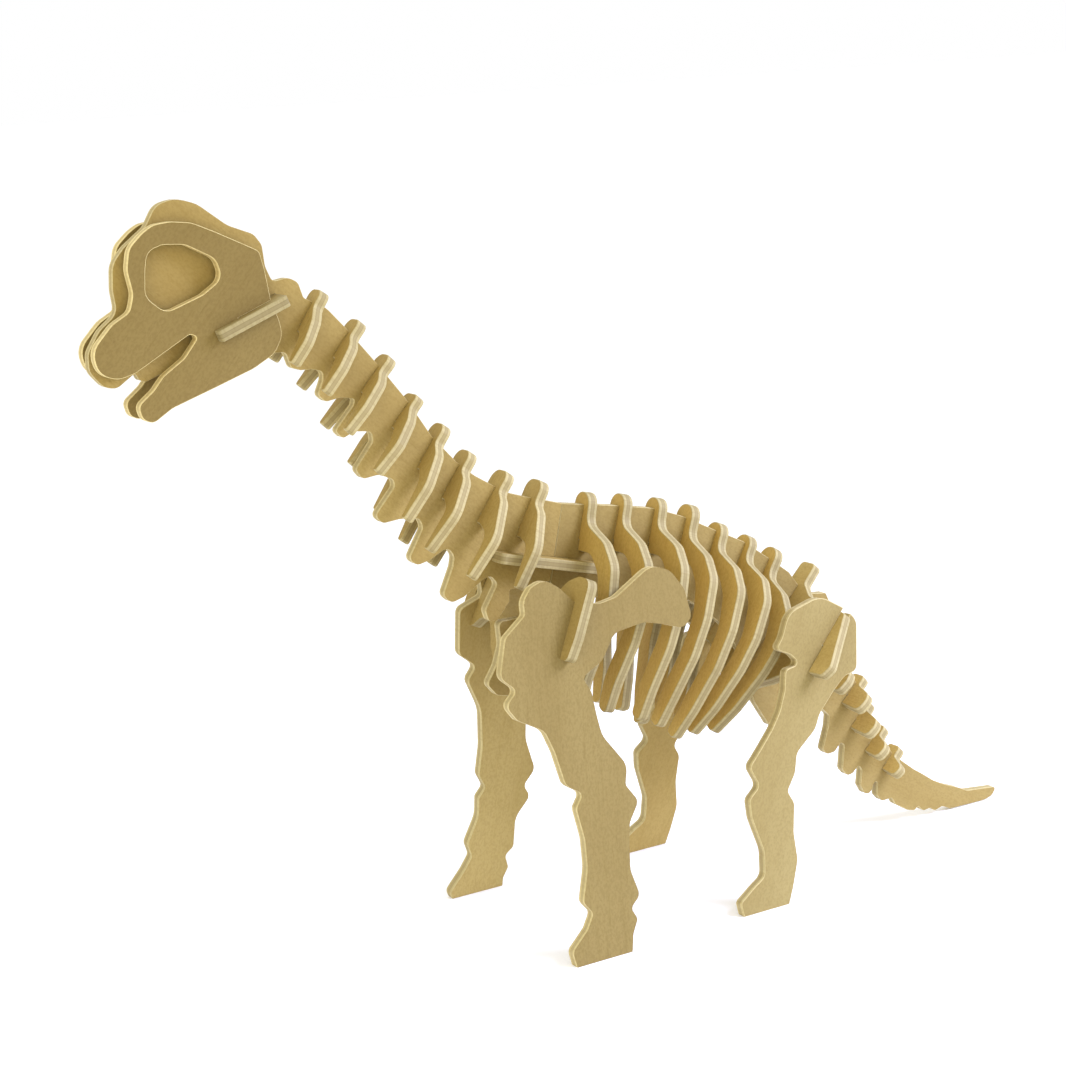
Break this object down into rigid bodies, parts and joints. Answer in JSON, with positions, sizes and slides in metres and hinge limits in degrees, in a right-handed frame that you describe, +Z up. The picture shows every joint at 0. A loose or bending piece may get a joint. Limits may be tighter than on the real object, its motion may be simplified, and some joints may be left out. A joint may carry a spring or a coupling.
{
  "type": "wooden dinosaur skeleton slot-together puzzle",
  "caption": "Slot-together plywood skeleton of a standing long-necked dinosaur, with ribbed neck, rib cage, four legs and tail.",
  "frame": {"origin": "on the ground between the feet, midway along the whole length from snout to tail tip, in the plane of the centre plates", "axes": "+X from the head towards the tail, +Y towards the animal's right side, +Z up"},
  "size_m": [0.2849, 0.07, 0.2127],
  "materials": {
    "plywood": "bare sanded plywood, satin"
  },
  "bodies": {
    "body_frame": {"body_plate": "plywood", "spine_joiner": "plywood", "shoulder_plate": "plywood", "hip_plate": "plywood"},
    "neck": {"neck_plate": "plywood", "skull_bar": "plywood"},
    "skull_side_left": {"skull_left": "plywood"},
    "skull_side_right": {"skull_right": "plywood"},
    "rib_n1": {"neck_rib_1": "plywood"},
    "rib_n2": {"neck_rib_2": "plywood"},
    "rib_n3": {"neck_rib_3": "plywood"},
    "rib_n4": {"neck_rib_4": "plywood"},
    "rib_n5": {"neck_rib_5": "plywood"},
    "rib_n6": {"neck_rib_6": "plywood"},
    "rib_n7": {"neck_rib_7": "plywood"},
    "rib_n8": {"neck_rib_8": "plywood"},
    "rib_t1": {"torso_rib_1": "plywood"},
    "rib_t2": {"torso_rib_2": "plywood"},
    "rib_t3": {"torso_rib_3": "plywood"},
    "rib_t4": {"torso_rib_4": "plywood"},
    "rib_t5": {"torso_rib_5": "plywood"},
    "rib_t6": {"torso_rib_6": "plywood"},
    "rib_t7": {"torso_rib_7": "plywood"},
    "vertebra_1": {"tail_vertebra_1": "plywood"},
    "vertebra_2": {"tail_vertebra_2": "plywood"},
    "vertebra_3": {"tail_vertebra_3": "plywood"},
    "vertebra_4": {"tail_vertebra_4": "plywood"},
    "vertebra_5": {"tail_vertebra_5": "plywood"},
    "leg_front_leg_left": {"front_leg_left": "plywood"},
    "leg_front_leg_right": {"front_leg_right": "plywood"},
    "leg_rear_leg_left": {"rear_leg_left": "plywood"},
    "leg_rear_leg_right": {"rear_leg_right": "plywood"}
  },
  "joints": [
    {"name": "neck_slide", "type": "slide", "parent": "body_frame", "child": "neck", "axis": [-0.9673, 0, 0.2538], "range_m": [0, 0.02]},
    {"name": "skull_left_slide", "type": "slide", "parent": "neck", "child": "skull_side_left", "axis": [-0.9367, 0, -0.3502], "range_m": [0, 0.019]},
    {"name": "skull_right_slide", "type": "slide", "parent": "neck", "child": "skull_side_right", "axis": [-0.9367, 0, -0.3502], "range_m": [0, 0.019]},
    {"name": "neck_rib_1_slide", "type": "slide", "parent": "neck", "child": "rib_n1", "axis": [0.5878, 0, 0.809], "range_m": [0, 0.034]},
    {"name": "neck_rib_2_slide", "type": "slide", "parent": "neck", "child": "rib_n2", "axis": [0.6691, 0, 0.7431], "range_m": [0, 0.034]},
    {"name": "neck_rib_3_slide", "type": "slide", "parent": "neck", "child": "rib_n3", "axis": [0.7071, 0, 0.7071], "range_m": [0, 0.034]},
    {"name": "neck_rib_4_slide", "type": "slide", "parent": "neck", "child": "rib_n4", "axis": [0.6947, 0, 0.7193], "range_m": [0, 0.034]},
    {"name": "neck_rib_5_slide", "type": "slide", "parent": "neck", "child": "rib_n5", "axis": [0.6157, 0, 0.788], "range_m": [0, 0.034]},
    {"name": "neck_rib_6_slide", "type": "slide", "parent": "neck", "child": "rib_n6", "axis": [0.6157, 0, 0.788], "range_m": [0, 0.034]},
    {"name": "neck_rib_7_slide", "type": "slide", "parent": "neck", "child": "rib_n7", "axis": [0.6157, 0, 0.788], "range_m": [0, 0.034]},
    {"name": "neck_rib_8_slide", "type": "slide", "parent": "neck", "child": "rib_n8", "axis": [0.5, 0, 0.866], "range_m": [0, 0.034]},
    {"name": "torso_rib_1_slide", "type": "slide", "parent": "body_frame", "child": "rib_t1", "axis": [0.2419, 0, 0.9703], "range_m": [0, 0.072]},
    {"name": "torso_rib_2_slide", "type": "slide", "parent": "body_frame", "child": "rib_t2", "axis": [0.2756, 0, 0.9613], "range_m": [0, 0.072]},
    {"name": "torso_rib_3_slide", "type": "slide", "parent": "body_frame", "child": "rib_t3", "axis": [0.2756, 0, 0.9613], "range_m": [0, 0.072]},
    {"name": "torso_rib_4_slide", "type": "slide", "parent": "body_frame", "child": "rib_t4", "axis": [0.342, 0, 0.9397], "range_m": [0, 0.072]},
    {"name": "torso_rib_5_slide", "type": "slide", "parent": "body_frame", "child": "rib_t5", "axis": [0.4067, 0, 0.9135], "range_m": [0, 0.072]},
    {"name": "torso_rib_6_slide", "type": "slide", "parent": "body_frame", "child": "rib_t6", "axis": [0.4848, 0, 0.8746], "range_m": [0, 0.072]},
    {"name": "torso_rib_7_slide", "type": "slide", "parent": "body_frame", "child": "rib_t7", "axis": [0.5446, 0, 0.8387], "range_m": [0, 0.072]},
    {"name": "tail_vertebra_1_slide", "type": "slide", "parent": "body_frame", "child": "vertebra_1", "axis": [0.7431, 0, 0.6691], "range_m": [0, 0.014]},
    {"name": "tail_vertebra_2_slide", "type": "slide", "parent": "body_frame", "child": "vertebra_2", "axis": [0.766, 0, 0.6428], "range_m": [0, 0.014]},
    {"name": "tail_vertebra_3_slide", "type": "slide", "parent": "body_frame", "child": "vertebra_3", "axis": [0.7431, 0, 0.6691], "range_m": [0, 0.014]},
    {"name": "tail_vertebra_4_slide", "type": "slide", "parent": "body_frame", "child": "vertebra_4", "axis": [0.7547, 0, 0.6561], "range_m": [0, 0.014]},
    {"name": "tail_vertebra_5_slide", "type": "slide", "parent": "body_frame", "child": "vertebra_5", "axis": [0.7314, 0, 0.682], "range_m": [0, 0.014]},
    {"name": "front_leg_left_slide", "type": "slide", "parent": "body_frame", "child": "leg_front_leg_left", "axis": [-0.4131, -0.0873, -0.9065], "range_m": [0, 0.026]},
    {"name": "front_leg_right_slide", "type": "slide", "parent": "body_frame", "child": "leg_front_leg_right", "axis": [-0.4131, 0.0873, -0.9065], "range_m": [0, 0.026]},
    {"name": "rear_leg_left_slide", "type": "slide", "parent": "body_frame", "child": "leg_rear_leg_left", "axis": [-0.6803, -0.0702, -0.7295], "range_m": [0, 0.026]},
    {"name": "rear_leg_right_slide", "type": "slide", "parent": "body_frame", "child": "leg_rear_leg_right", "axis": [-0.6803, 0.0702, -0.7295], "range_m": [0, 0.026]}
  ]
}
